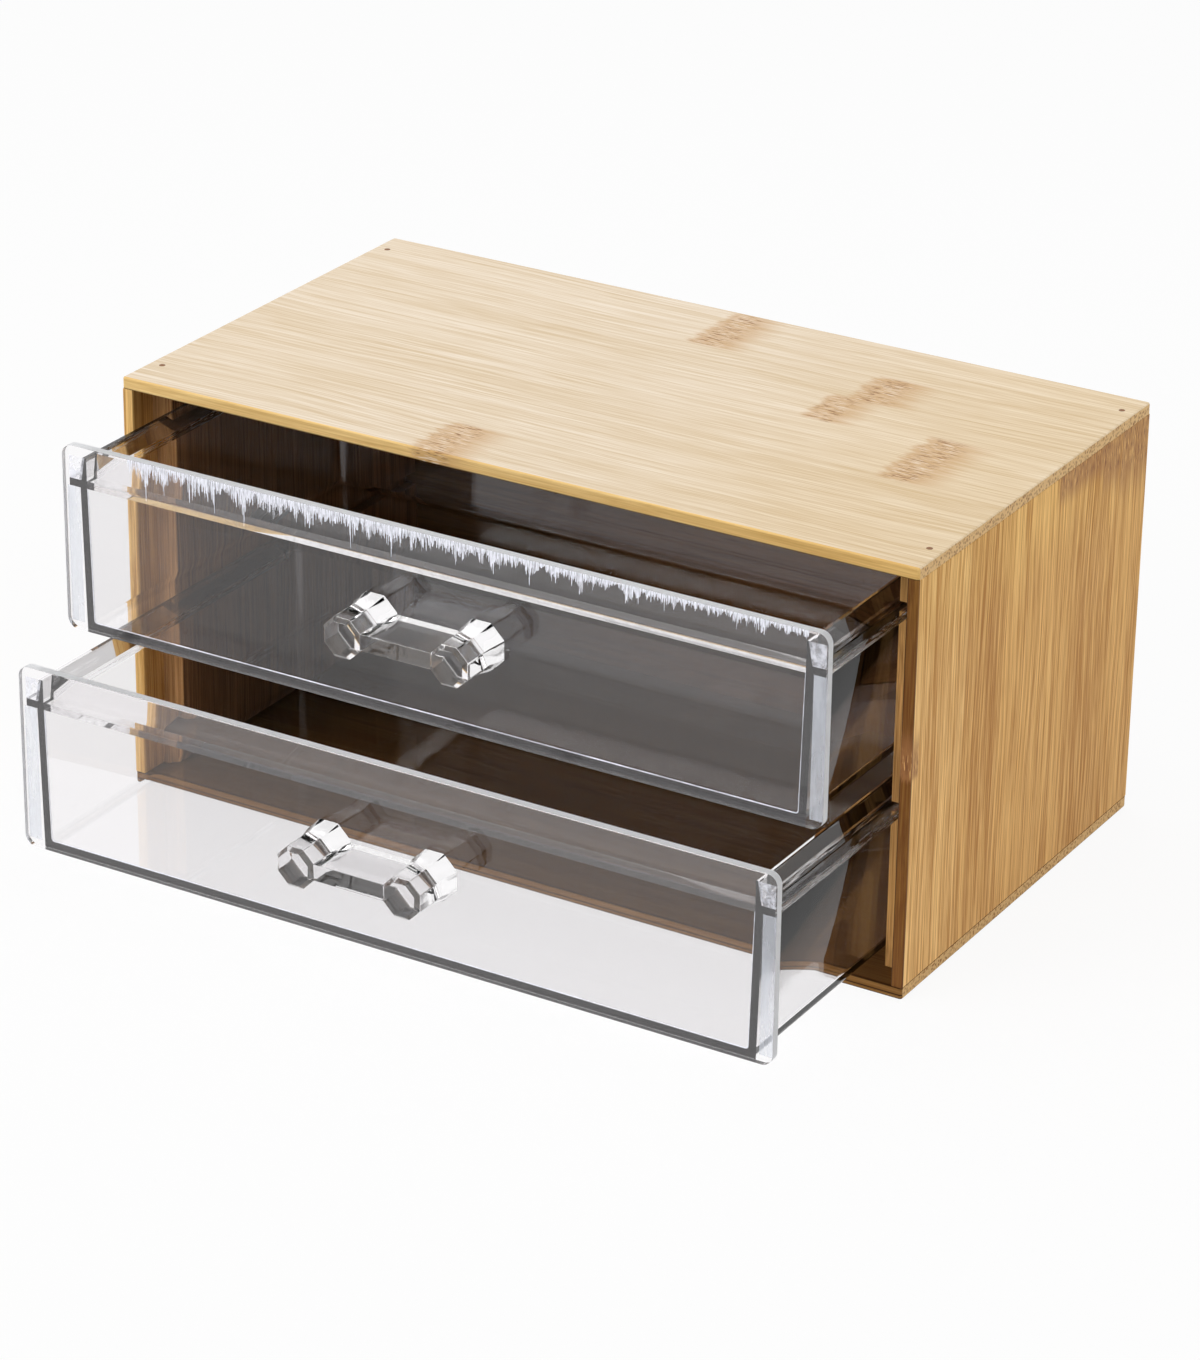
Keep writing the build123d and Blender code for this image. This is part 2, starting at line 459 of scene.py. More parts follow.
def new_material(name: str) -> tuple[Material, Graph, Node, Socket]:
    """Start a material with a Principled shader.

    Args:
        name: The finish's name.

    Returns:
        The material, its graph, its Principled node and the place on the piece in millimetres.
    """
    material = bpy.data.materials.new(name)
    material.use_nodes = True
    graph = Graph(material.node_tree)
    place = graph.node("ShaderNodeVectorMath", operation="SCALE")
    graph.feed(place.inputs[0], graph.node("ShaderNodeTexCoord").outputs["Object"])
    graph.fill(place, Scale=1 / MM)
    return material, graph, material.node_tree.nodes["Principled BSDF"], place.outputs[0]


def let_lamps_through(graph: Graph, shader: Node, tint: Colour) -> None:
    """Make a clear finish cast no hard shadow.

    Args:
        graph: The finish's graph.
        shader: Its Principled node.
        tint: What it takes from the light of lamps that passes.
    """
    clear = graph.made_by("ShaderNodeBsdfTransparent", Color=tint)
    graph.surface(graph.node("ShaderNodeLightPath").outputs["Is Shadow Ray"], shader.outputs[0], clear)


@dataclass(frozen=True)
class Knuckle:
    """One knuckle mark, in millimetres: its centre along and across the grain, and its half sizes."""

    along: float
    across: float
    half_length: float
    half_width: float


@dataclass(frozen=True)
class FaceTone:
    """A tone that a board's colour is multiplied by, from a start to where it is full on one axis."""

    axis: str
    start: float
    full: float
    tone: Colour


@dataclass(frozen=True)
class GlueLine:
    """A dark line of glue that shows on a board's front edge."""

    level: float
    front: float
    colour: Colour
    edges: Span = (0.08, 0.2)
    depth: float = 0.1


@dataclass(frozen=True)
class BambooFinish:
    """Sanded, clear-sealed bamboo of one board."""

    name: str
    grain: Grain
    light: Colour
    dark: Colour
    strip_width: float = 18.0
    fibre_contrast: float = 1.1
    band_contrast: float = 0.6
    strip_contrast: float = 0.15
    offset: float = 0.0
    knuckles: tuple[Knuckle, ...] = ()
    knuckle_tint: Colour = srgb(200, 156, 104)
    knuckle_dash: Colour = srgb(150, 108, 70)
    knuckle_strength: float = 0.62
    knuckle_paleness: float = 0.6
    specular: float = 0.2
    relief: float = 0.12
    relief_depth: float = 0.05 * MM
    tones: tuple[FaceTone, ...] = ()
    glue_lines: tuple[GlueLine, ...] = ()
    cut_end_at: float = 0.0
    cut_end_depth: float = 0.1
    cut_end_light: Colour = srgb(222, 184, 128)
    cut_end_dark: Colour = srgb(138, 92, 48)

    def material(
        self, fibres: Tree, knuckle: Tree, ends: Tree
    ) -> Material:
        """Make the board's material.

        Args:
            fibres: The bamboo fibre group.
            knuckle: The knuckle group.
            ends: The end grain group.

        Returns:
            The finished material.
        """
        material, graph, shader, place = new_material(self.name)
        axes = graph.xyz(place)
        along, across, through = (axes[letter] for letter in self.grain.value)
        turned = graph.vector(graph.plus(along, self.offset), across, through)
        board = graph.group(
            fibres, Vector=turned, Strip_Width=self.strip_width, Light=self.light, Dark=self.dark,
            Fibre_Contrast=self.fibre_contrast, Band_Contrast=self.band_contrast,
            Strip_Contrast=self.strip_contrast,
        )
        colour = board["Color"]
        # Face tones: on the case's boards some of these are painted shade on the inside faces.
        for tone in self.tones:
            mask = graph.ramp(axes[tone.axis], tone.start, tone.full)
            colour = graph.mix(mask, colour, graph.mix(1.0, colour, tone.tone, "MULTIPLY"))
        for line in self.glue_lines:
            near = graph.fade(graph.size(graph.minus(through, line.level)), *line.edges)
            front = graph.ramp(across, line.front + line.depth, line.front)
            colour = graph.mix(graph.times(near, front), colour, line.colour)
        for mark in self.knuckles:
            spot = graph.group(
                knuckle, Vector=turned, Centre=(mark.along + self.offset, mark.across, 0.0),
                Half_Length=mark.half_length, Half_Width=mark.half_width,
            )
            colour = graph.mix(graph.times(spot["Tint"], self.knuckle_strength), colour, self.knuckle_tint)
            colour = graph.mix(graph.times(spot["Pale"], self.knuckle_paleness), colour, self.light)
            colour = graph.mix(spot["Dashes"], colour, self.knuckle_dash)
        if self.cut_end_at:
            cut = graph.group(ends, Vector=place, Light=self.cut_end_light, Dark=self.cut_end_dark)
            end = graph.ramp(graph.size(along), self.cut_end_at - self.cut_end_depth, self.cut_end_at)
            colour = graph.mix(end, colour, cut["Color"])
        graph.fill(shader, Base_Color=colour, Roughness=board["Roughness"], Specular_IOR_Level=self.specular)
        graph.bump(shader, board["Height"], self.relief, self.relief_depth)
        return material


@dataclass(frozen=True)
class ClearFinish:
    """Clear plastic that lets lamps through, rubbed where it slides."""

    name: str
    tint: Colour = (0.974, 0.965, 0.972)
    ior: float = 1.49
    polished: float = 0.0
    smeared: float = 0.02
    ripple: float = 0.05
    ripple_depth: float = 0.3 * MM
    scuffed_beyond: float = 0.0
    scuff_blend: float = 0.3
    scuff_scale: Place = (1.2, 0.09, 1.2)
    scuff_reach: Span = (0.46, 0.6)
    scuff_roughness: float = 0.45

    def material(self, marks: Tree) -> Material:
        """Make the material.

        Args:
            marks: The handling marks group.

        Returns:
            The finished material.
        """
        material, graph, shader, place = new_material(self.name)
        wear = graph.group(marks, Vector=place, Polished=self.polished, Smeared=self.smeared)
        roughness = wear["Roughness"]
        if self.scuffed_beyond:
            out = graph.size(graph.xyz(place)["X"])
            rubbed = graph.ramp(out, self.scuffed_beyond, self.scuffed_beyond + self.scuff_blend)
            grit = graph.noise(place, self.scuff_scale, 3.0, 0.65)
            streaks = graph.ramp(grit, *self.scuff_reach, 0.0, self.scuff_roughness)
            roughness = graph.plus(roughness, graph.times(rubbed, streaks))
        graph.fill(shader, Base_Color=self.tint, Transmission_Weight=1.0, IOR=self.ior, Roughness=roughness)
        graph.bump(shader, wear["Height"], self.ripple, self.ripple_depth)
        let_lamps_through(graph, shader, self.tint)
        return material


@dataclass(frozen=True)
class SawnFinish:
    """Clear plastic with a frosty sawn face, for the edges of the fronts."""

    name: str = "sawn clear edge"
    colour: Colour = srgb(252, 253, 255)
    ior: float = 1.49
    clearness: float = 0.5
    tooth_scale: Place = (1.6, 0.4, 1.6)
    tooth_reach: Span = (0.3, 0.7)
    roughness: Span = (0.35, 0.65)
    relief: float = 0.22
    relief_depth: float = 0.1 * MM

    def material(self) -> Material:
        """Make the material.

        Returns:
            The finished material.
        """
        material, graph, shader, place = new_material(self.name)
        teeth = graph.noise(place, self.tooth_scale, 2.0, 0.6)
        graph.fill(
            shader, Base_Color=self.colour, Transmission_Weight=self.clearness, IOR=self.ior,
            Roughness=graph.ramp(teeth, *self.tooth_reach, *self.roughness),
        )
        graph.bump(shader, teeth, self.relief, self.relief_depth)
        let_lamps_through(graph, shader, WHITE)
        return material


@dataclass(frozen=True)
class BradFinish:
    """Dull steel of the brads' heads, browned in their holes."""

    name: str = "brad steel"
    browned: Colour = srgb(98, 60, 30)
    bare: Colour = srgb(150, 100, 56)
    cloud_scale: Place = (1.2, 1.2, 1.2)
    cloud_reach: Span = (0.3, 0.7)
    roughness: Span = (0.45, 0.65)
    metal: float = 0.1

    def material(self) -> Material:
        """Make the material.

        Returns:
            The finished material.
        """
        material, graph, shader, place = new_material(self.name)
        cloud = graph.noise(place, self.cloud_scale, 3.0)
        graph.fill(
            shader, Base_Color=graph.mix(cloud, self.browned, self.bare), Metallic=self.metal,
            Roughness=graph.ramp(cloud, *self.cloud_reach, *self.roughness),
        )
        return material


@dataclass(frozen=True)
class CementAndShadeFinish:
    """Cement between a front and its tray, and the near-black painted shade in their joint: its patches run
    from thin to thick cover, 0 to 1.
    """

    name: str
    scale: Place
    patches: Span
    cover: Span
    roughness: float = 0.6
    colour: Colour = srgb(240, 243, 251)

    def material(self) -> Material:
        """Make the material.

        Returns:
            The finished material.
        """
        material, graph, shader, place = new_material(self.name)
        alpha = graph.ramp(graph.noise(place, self.scale, 3.0, 0.65), *self.patches, *self.cover)
        graph.fill(shader, Base_Color=self.colour, Alpha=alpha, Roughness=self.roughness)
        return material


def put_in_scene(name: str, data: bpy.types.ID) -> Object:
    """Add an object to the scene.

    Args:
        name: Its name.
        data: The mesh, lamp or camera that it shows.

    Returns:
        The object.
    """
    added = bpy.data.objects.new(name, data)
    bpy.context.scene.collection.objects.link(added)
    return added


def kept_result(holder: Object) -> Mesh:
    """Keep what an object's modifiers make as a plain mesh, and remove the object.

    Args:
        holder: The object.

    Returns:
        The mesh.
    """
    evaluated = holder.evaluated_get(bpy.context.evaluated_depsgraph_get())
    mesh = bpy.data.meshes.new_from_object(evaluated)
    bpy.data.objects.remove(holder)
    return mesh


def keep_as_piece(name: str, mesh: Mesh, body: str) -> Object:
    """Put a mesh in the scene as a piece that rides on a body.

    Args:
        name: The piece's name.
        mesh: Its mesh, in place in the shared frame.
        body: The body that carries it.

    Returns:
        The new object.
    """
    piece = put_in_scene(name, mesh)
    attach(piece, body)
    log.info("piece %s on %s: %d faces", name, body, len(mesh.polygons))
    return piece


def grown_mesh(
    name: str, tree: Tree, values: dict[str, object], path: Sequence[Place] = ()
) -> Mesh:
    """Run a Geometry Nodes tree once and keep its result as a plain mesh.

    Args:
        name: The name of the mesh.
        tree: The tree to run.
        values: Its inputs by name.
        path: The points, in metres, of a line that the tree starts from, if it takes one.

    Returns:
        The mesh that the tree makes.
    """
    start = bpy.data.meshes.new(name)
    start.from_pydata(path, [(point, point + 1) for point in range(len(path) - 1)], [])
    holder = put_in_scene(name, start)
    grower = holder.modifiers.new(name, "NODES")
    grower.node_group = tree
    for socket in tree.interface.items_tree:
        if socket.in_out == "INPUT" and socket.name in values:
            grower[socket.identifier] = values[socket.name]
    return kept_result(holder)


def evened(mesh: Mesh) -> Mesh:
    """Let the large faces set the shading, so that flat walls stay flat beside their roundings.

    Args:
        mesh: A mesh shaded smooth, with its sharp edges marked.

    Returns:
        A copy with its normals weighted by face area.
    """
    holder = put_in_scene("evening", mesh)
    weighting = holder.modifiers.new("evening", "WEIGHTED_NORMAL")
    weighting.mode = "FACE_AREA"
    weighting.weight = LARGE_FACES_LEAD
    weighting.keep_sharp = True
    return kept_result(holder)


def eased_copy(
    node: str, width: float, seat: float = 0.0, shortest: float = 0.0, crisp_below: float = 0.0
) -> Mesh:
    """Copy a CAD node's mesh with its edges eased.

    Args:
        node: The node to copy.
        width: The rounding of each sharp edge, in metres.
        seat: How far the face it is cemented by stands off, in metres: the hindmost face
            if positive, the foremost if negative.
        shortest: Edges shorter than this, in metres, stay sharp.
        crisp_below: Edges that reach below this height, in metres, stay sharp.

    Returns:
        A closed mesh whose curved faces are shaded smooth.
    """
    shape = bmesh.new()
    shape.from_mesh(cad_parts[node].data)
    bmesh.ops.remove_doubles(shape, verts=shape.verts, dist=WELD_DISTANCE)
    bmesh.ops.dissolve_limit(
        shape, angle_limit=FLAT_WITHIN, verts=shape.verts, edges=shape.edges, use_dissolve_boundaries=False
    )
    if seat:
        depths = [point.co.y for point in shape.verts]
        face = max(depths) if seat > 0 else min(depths)
        for point in shape.verts:
            if abs(point.co.y - face) < SAME_FACE:
                point.co.y -= seat
    sharp = [
        edge
        for edge in shape.edges
        if edge.calc_face_angle(0.0) > EASED_BEYOND and edge.calc_length() > shortest
        and min(point.co.z for point in edge.verts) > crisp_below
    ]
    bmesh.ops.bevel(
        shape, geom=sharp, offset=width, offset_type="OFFSET", segments=ROUNDING_FACES,
        profile=ROUND_PROFILE, affect="EDGES", clamp_overlap=True,
    )
    for face in shape.faces:
        face.smooth = True
    mesh = bpy.data.meshes.new(node + "_eased")
    shape.to_mesh(mesh)
    shape.free()
    mesh.set_sharp_from_angle(angle=CREASED_BEYOND)
    return evened(mesh)


@dataclass
class Case:
    """The bamboo case: seven boards and the brads that hold them. Levels are in millimetres."""

    half_width: float = 112.5
    arris: float = 0.3 * MM
    smallest_eased: float = 2.0 * MM
    front: float = -61.4
    back: float = 61.8
    top_inside: float = 109.2
    bottom_inside: float = 2.8
    underside: float = 0.4
    side_inside: float = 109.8
    side_pale_from: float = -35.0
    guide_front: float = -53.3
    glue_level: float = 1.2
    blend: float = 0.1
    boards: dict[str, BambooFinish] = field(default_factory=dict)

    def __post_init__(self) -> None:
        """Give each board its finish, with painted shade on the faces inside and under the case."""
        light, dark = srgb(243, 194, 119), srgb(170, 114, 48)
        # shade is painted shade: it darkens the inside faces of the top, bottom and side boards and the
        # bottom's underside.
        shade = (0.2, 0.16, 0.11)

        def above(axis: str, level: float, tone: Colour) -> FaceTone:
            """The tone of what is above a level on an axis."""
            return FaceTone(axis, level - self.blend, level + self.blend, tone)

        def below(axis: str, level: float, tone: Colour) -> FaceTone:
            """The tone of what is below a level on an axis."""
            return FaceTone(axis, level + self.blend, level - self.blend, tone)

        def front_edge(tone: Colour) -> FaceTone:
            """The tone of a board's front edge."""
            return FaceTone("Y", self.front + self.blend, self.front, tone)

        self.boards = {
            "top_board": BambooFinish(
                "bamboo top", Grain.ACROSS_THE_CASE, srgb(244, 230, 211), srgb(216, 192, 156),
                fibre_contrast=2.0, band_contrast=0.5,
                knuckles=(
                    Knuckle(-20.5, -53.0, 5.5, 10.5), Knuckle(-0.5, 49.0, 5.0, 13.0),
                    Knuckle(48.0, 15.5, 4.5, 9.0), Knuckle(53.0, 32.5, 5.5, 9.0),
                    Knuckle(83.0, -3.0, 5.5, 15.0),
                ),
                tones=(
                    # Painted shade: the top board darkens towards its right end, where the light from the
                    # left falls off.
                    FaceTone("X", -10.0, self.half_width, (0.96, 0.91, 0.8)),
                    front_edge((1.08, 0.87, 0.45)),
                    below("Z", self.top_inside, shade),
                ),
                cut_end_at=self.half_width,
            ),
            "bottom_board": BambooFinish(
                "bamboo bottom", Grain.ACROSS_THE_CASE, srgb(214, 172, 112), srgb(160, 114, 60),
                fibre_contrast=1.9, offset=700.0, specular=0.06,
                tones=(
                    front_edge((0.5, 0.44, 0.36)),
                    above("Z", self.bottom_inside, shade),
                    below("Z", self.underside, shade),
                ),
                glue_lines=(GlueLine(self.glue_level, self.front, srgb(38, 28, 20)),),
                cut_end_at=self.half_width,
            ),
            "left_side_board": BambooFinish(
                "bamboo left side", Grain.UPRIGHT, light, dark, strip_width=21.0, fibre_contrast=1.9,
                band_contrast=1.0, offset=300.0,
                # The first tone is painted shade on the side board's inner face.
                tones=(above("X", -self.side_inside, (0.75, 0.68, 0.6)), front_edge((1.26, 1.42, 1.65))),
            ),
            "right_side_board": BambooFinish(
                "bamboo right side", Grain.UPRIGHT, light, dark, strip_width=21.0, fibre_contrast=2.4,
                band_contrast=1.1,
                tones=(
                    FaceTone("Z", 80.0, 104.0, (1.1, 1.15, 1.14)),
                    below("X", self.side_inside, shade),
                    below("Y", self.side_pale_from, (1.14, 1.22, 1.4)),
                    front_edge((0.25, 0.165, 0.07)),
                ),
                knuckles=(
                    Knuckle(107.0, 24.0, -3.0, 13.0), Knuckle(105.0, 41.0, -5.0, 5.0),
                    Knuckle(104.0, 54.0, -7.5, 8.0), Knuckle(62.0, -61.0, 4.0, 2.5),
                ),
                knuckle_tint=srgb(160, 110, 66), knuckle_dash=srgb(126, 80, 48), knuckle_strength=0.7,
            ),
            # Painted shade: the guide boards' colours are darkened for the shade inside the case; the tone
            # in front of guide_front lifts their front faces back to the bamboo's own colour.
            **{
                f"{side}_guide_board": BambooFinish(
                    f"bamboo {side} guide", Grain.UPRIGHT, srgb(162, 116, 76), srgb(98, 64, 38),
                    offset=offset, strip_width=19.0, fibre_contrast=1.8, specular=0.08,
                    tones=(below("Y", self.guide_front, tone),),
                )
                for side, offset, tone in (
                    ("left", 900.0, (1.9, 2.15, 2.1)), ("right", 1300.0, (1.9, 2.2, 1.75)),
                )
            },
            # Painted shade: the back board's colours are darkened for the shade inside the case; the tone
            # beyond back lifts its outer face back to the bamboo's own colour.
            "back_board": BambooFinish(
                "bamboo back", Grain.ACROSS_THE_CASE, srgb(112, 76, 44), srgb(66, 42, 22), offset=1700.0,
                fibre_contrast=1.6, specular=0.05, tones=(above("Y", self.back, (3.6, 4.6, 5.6)),),
            ),
        }

    def build(self) -> None:
        """Dress the boards and the brads."""
        groups = bamboo_fibres(), bamboo_knuckle(), end_grain()
        for node, finish in self.boards.items():
            if node in ("top_board", "bottom_board"):
                self.dress(node, finish.material(*groups))
            else:
                self.ease(node, finish.material(*groups))
        brads = BradFinish().material()
        for node in ("top_brads", "bottom_brads"):
            self.dress(node, brads)

    def ease(self, node: str, material: Material) -> None:
        """Replace a sharp board with one whose arrises are eased, outside its brad holes.

        Args:
            node: The board's CAD node.
            material: Its material.
        """
        mesh = eased_copy(node, self.arris, shortest=self.smallest_eased)
        mesh.materials.append(material)
        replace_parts(keep_as_piece(f"{node}_eased", mesh, "case"), node)

    def dress(self, node: str, material: Material) -> None:
        """Give a CAD node's object one material.

        Args:
            node: The node.
            material: The material.
        """
        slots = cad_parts[node].data.materials
        slots.clear()
        slots.append(material)
        log.info("dressed %s with %s", node, material.name)


@dataclass
class CementFringe:
    """Frosty runs of cement behind a front's top edge, grown by a Geometry Nodes tree, in millimetres."""

    drawer: str
    finish: Material
    seat: float = 0.04
    start: float = -88.0
    end: float = 101.0
    spacing: float = 0.21
    root_drop: float = 0.55
    shortest: float = 1.7
    longest: float = 7.0
    half_width: float = 0.22
    thickness: float = 0.03
    seed: int = 7

    def tree(self) -> Tree:
        """Make the tree that hangs tapered runs along a line, longer where a noise is high.

        Returns:
            The tree.
        """
        made = GrowingTree(
            "cement fringe",
            {
                "Start": "vector", "End": "vector", "Spacing": "float", "Shortest": "float",
                "Longest": "float", "Half Width": "float", "Thickness": "float", "Seed": "whole",
            },
        )
        graph, given = made.graph, made.given
        low_input, high_input, float_output = 2, 3, 1
        clump_scale, clump_reach, clump_power = (210.0, 0.0, 0.0), (0.38, 0.68), 1.3
        thinning_reach, thinning_span, tip_share = (-0.06, 0.1), (1.2, 0.6), 0.35

        def chance(low: float, high: float, extra: int) -> Socket:
            """Draw a random value for each run.

            Args:
                low: The least it can be.
                high: The most it can be.
                extra: What is added to the seed.

            Returns:
                The value.
            """
            draw = graph.node("FunctionNodeRandomValue", data_type="FLOAT")
            draw.inputs[low_input].default_value = low
            draw.inputs[high_input].default_value = high
            graph.fill(draw, Seed=graph.plus(given["Seed"], extra))
            return draw.outputs[float_output]

        line = graph.made_by("GeometryNodeCurvePrimitiveLine", Start=given["Start"], End=given["End"])
        points = graph.node("GeometryNodeCurveToPoints", mode="LENGTH")
        graph.fill(points, Curve=line, Length=given["Spacing"])
        place = graph.node("GeometryNodeInputPosition").outputs[0]
        clumps = graph.noise(place, clump_scale, 3.0, 0.7)
        swell = graph.math("POWER", graph.ramp(clumps, *clump_reach), clump_power)
        thinning = graph.ramp(graph.xyz(place)["X"], *thinning_reach, *thinning_span)
        reach = graph.times(graph.times(swell, chance(0.1, 1.0, 1)), given["Longest"])
        length = graph.plus(graph.times(given["Shortest"], chance(0.3, 1.6, 2)), reach)
        width = graph.times(given["Half Width"], chance(0.45, 1.35, 3))
        size = graph.vector(width, given["Thickness"], graph.times(length, thinning))
        run = graph.made_by(
            "GeometryNodeMeshCone", Vertices=6, Side_Segments=2, Depth=1.0, Radius_Top=1.0,
            Radius_Bottom=tip_share,
        )
        hung = graph.made_by("GeometryNodeTransform", Geometry=run, Translation=(0.0, 0.0, -1.0))
        spread = graph.made_by(
            "GeometryNodeInstanceOnPoints", Points=points.outputs["Points"], Instance=hung, Scale=size
        )
        return made.end(spread)

    def build(self) -> None:
        """Grow the fringe behind the drawer's front and keep it as one piece."""
        _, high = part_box(f"{self.drawer}_front")
        depth = high[1] + self.seat * MM
        top = high[2] - self.root_drop * MM
        values = {
            "Start": (self.start * MM, depth, top), "End": (self.end * MM, depth, top),
            "Spacing": self.spacing * MM, "Shortest": self.shortest * MM, "Longest": self.longest * MM,
            "Half Width": self.half_width * MM, "Thickness": self.thickness * MM / 2, "Seed": self.seed,
            "Finish": self.finish,
        }
        mesh = grown_mesh("cement fringe", self.tree(), values)
        keep_as_piece(f"{self.drawer}_cement_fringe", mesh, self.drawer)


@dataclass
class CementAndShadeSeam:
    """The cement that joins a tray to its front: a bead in the corner, a film in the joint and its haze. The
    film's near-black joint panes are painted shade.

    Sizes are in millimetres, heights from the front's foot. The film's finishes are in the order of Cement.
    """

    drawer: str
    bead_finish: Material
    film_finishes: Sequence[Material]
    half_width_foot: float = 99.9
    half_width_ledge: float = 100.66
    wall: float = 2.0
    rim_wall: float = 0.5
    runner_half_width: float = 105.9
    haze_half_width: float = 106.6
    haze_gap: float = 0.1
    haze_foot: float = 1.6
    underside: float = 0.0
    floor: float = 2.0
    ledge_foot: float = 37.95
    ledge: float = 39.95
    rim: float = 45.95
    corner_radius: float = 1.0
    corner_steps: int = 6
    bead_radius: float = 0.17
    bead_sides: int = 8
    bead_inset: float = 0.6
    film_from: float = 0.06
    film_to: float = 0.07

    def tree(self) -> Tree:
        """Make the tree that lays a round bead along a line with rounded corners.

        Returns:
            The tree.
        """
        made = GrowingTree(
            "cement bead", {"Geometry": "shape", "Corner Radius": "float", "Bead Radius": "float"}
        )
        graph, given = made.graph, made.given
        line = graph.made_by("GeometryNodeMeshToCurve", Mesh=given["Geometry"])
        rounded = graph.node("GeometryNodeFilletCurve", mode="POLY")
        graph.fill(rounded, Curve=line, Radius=given["Corner Radius"], Count=self.corner_steps)
        ring = graph.made_by(
            "GeometryNodeCurvePrimitiveCircle", Resolution=self.bead_sides, Radius=given["Bead Radius"]
        )
        bead = graph.made_by(
            "GeometryNodeCurveToMesh", Curve=rounded.outputs[0], Profile_Curve=ring, Fill_Caps=True
        )
        return made.end(bead)

    def build(self) -> None:
        """Lay the bead and the film behind the drawer's front."""
        low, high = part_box(f"{self.drawer}_front")
        self.lay_bead(high[1], low[2])
        self.lay_film(high[1], low[2])

    def lay_bead(self, back: float, foot: float) -> None:
        """Lay the bead.

        Args:
            back: The depth of the front's back face, in metres.
            foot: The height of the front's foot, in metres.
        """
        depth = back + (self.film_to + self.bead_radius) * MM
        inset = self.bead_radius * self.bead_inset
        top = (self.half_width_ledge - inset, self.ledge_foot)
        corner = (self.half_width_foot - inset, self.floor + inset)
        path = [
            (side * width * MM, depth, foot + height * MM)
            for side, (width, height) in ((-1, top), (-1, corner), (1, corner), (1, top))
        ]
        values = {
            "Corner Radius": self.corner_radius * MM, "Bead Radius": self.bead_radius * MM,
            "Finish": self.bead_finish,
        }
        bead = grown_mesh(f"{self.drawer} cement bead", self.tree(), values, path)
        keep_as_piece(f"{self.drawer}_cement_bead", bead, self.drawer)

    def panes(self) -> list[tuple[Cement, tuple[Span, ...]]]:
        """List the film's panes.

        Returns:
            For each pane its kind (painted shade in the joint, cement elsewhere) and its four corners as
            width and height.
        """
        def mirrored(corners: Sequence[Span]) -> tuple[Span, ...]:
            """The same corners on the other side."""
            return tuple((-width, height) for width, height in corners)

        foot, wall, runner = self.half_width_foot, self.half_width_ledge, self.runner_half_width
        foot_in, foot_out = (foot, self.floor), (foot + self.wall, self.underside)
        wall_in, wall_out = (wall, self.ledge_foot), (wall + self.wall, self.ledge_foot)
        ledge_in, ledge_out = (wall, self.ledge), (wall + self.wall - self.rim_wall, self.ledge)
        rim_in, rim_out, rim_end = (wall, self.rim), (wall + self.rim_wall, self.rim), (runner, self.rim)
        runner_foot, runner_top = (runner, self.ledge_foot), (runner, self.ledge)
        haze_in, haze_out = wall + self.wall + self.haze_gap, self.haze_half_width
        low_haze = ((haze_in, self.haze_foot), (haze_out, self.haze_foot))
        high_haze = ((haze_out, self.ledge_foot), (haze_in, self.ledge_foot))
        sides = (
            (Cement.PAINTED_SHADE_JOINT, (foot_in, foot_out, wall_out, wall_in)),
            (Cement.PAINTED_SHADE_JOINT, (wall_in, wall_out, rim_out, rim_in)),
            (Cement.PAINTED_SHADE_JOINT, (wall_out, runner_foot, runner_top, ledge_out)),
            (Cement.RIM, (ledge_out, runner_top, rim_end, rim_out)),
            (Cement.HAZE, low_haze + high_haze),
        )
        return [
            (Cement.PAINTED_SHADE_JOINT, mirrored([foot_out]) + (foot_out, foot_in) + mirrored([foot_in])),
            (Cement.LEDGE, mirrored([wall_in]) + (wall_in, ledge_in) + mirrored([ledge_in])),
            *((cement, mirrored(corners)) for cement, corners in sides),
            *sides,
        ]

    def lay_film(self, back: float, foot: float) -> None:
        """Lay the thin film in the joint, a closed pane for each stretch: near-black painted shade along the
        tray's walls and foot, cement on the rim, ledge and haze.

        Args:
            back: The depth of the front's back face, in metres.
            foot: The height of the front's foot, in metres.
        """
        film = bmesh.new()
        for cement, corners in self.panes():
            near, far = (
                [
                    film.verts.new((width * MM, back + depth * MM, foot + height * MM))
                    for width, height in corners
                ]
                for depth in (self.film_from, self.film_to)
            )
            faces = [film.faces.new(near), film.faces.new(far)]
            for start in range(len(corners)):
                end = (start + 1) % len(corners)
                faces.append(film.faces.new((near[start], near[end], far[end], far[start])))
            for face in faces:
                face.material_index = cement.value
        bmesh.ops.recalc_face_normals(film, faces=film.faces)
        mesh = bpy.data.meshes.new(f"{self.drawer} cement film")
        film.to_mesh(mesh)
        film.free()
        for finish in self.film_finishes:
            mesh.materials.append(finish)
        keep_as_piece(f"{self.drawer}_cement_and_shade_film", mesh, self.drawer)


